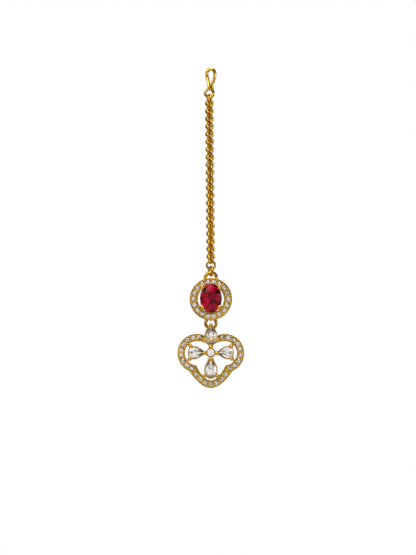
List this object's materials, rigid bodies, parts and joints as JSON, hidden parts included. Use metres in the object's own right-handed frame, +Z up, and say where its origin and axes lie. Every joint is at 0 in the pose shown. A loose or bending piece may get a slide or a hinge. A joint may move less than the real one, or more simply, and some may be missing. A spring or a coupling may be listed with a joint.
{
  "type": "maang tikka",
  "caption": "Forehead jewel on a wire hook: a rolo chain, a round halo of stones with an oval red stone, and a three-lobed drop of pear-cut clear stones.",
  "frame": {"origin": "the inner top of the hook's loop, where the jewel hangs", "axes": "+Z up along the hanging chain, +X to the right seen from the front, -Y out of the front of the stones"},
  "size_m": [0.0132, 0.0029, 0.0635],
  "materials": {
    "gold_plate": "yellow gold plate over brass, mirror polished",
    "red_stone": "deep crimson, faceted and polished",
    "clear_stone": "colourless, faceted and polished"
  },
  "bodies": {
    "chain": {"hook": "gold_plate", "chain": "gold_plate"},
    "end_ring": {"end_ring": "gold_plate"},
    "cluster": {"halo_frame": "gold_plate", "ruby": "red_stone"},
    "drop_ring": {"drop_ring": "gold_plate"},
    "drop": {"trefoil_frame": "gold_plate", "pear_top": "clear_stone", "pear_left": "clear_stone", "pear_right": "clear_stone", "pear_bottom": "clear_stone", "centre_stone": "clear_stone"}
  },
  "joints": [
    {"name": "cluster_sway", "type": "hinge", "parent": "chain", "child": "end_ring", "pos_m": [0, 0, -0.03847], "axis": [0, 1, 0], "range_deg": [-60, 60]},
    {"name": "cluster_swing", "type": "hinge", "parent": "end_ring", "child": "cluster", "pos_m": [0, 0, -0.03989], "axis": [1, 0, 0], "range_deg": [-70, 70]},
    {"name": "drop_sway", "type": "hinge", "parent": "cluster", "child": "drop_ring", "pos_m": [0, 0.00025, -0.04996], "axis": [0, 1, 0], "range_deg": [-45, 45]},
    {"name": "drop_swing", "type": "hinge", "parent": "drop_ring", "child": "drop", "pos_m": [0, 0.00025, -0.051], "axis": [1, 0, 0], "range_deg": [-40, 60]}
  ]
}
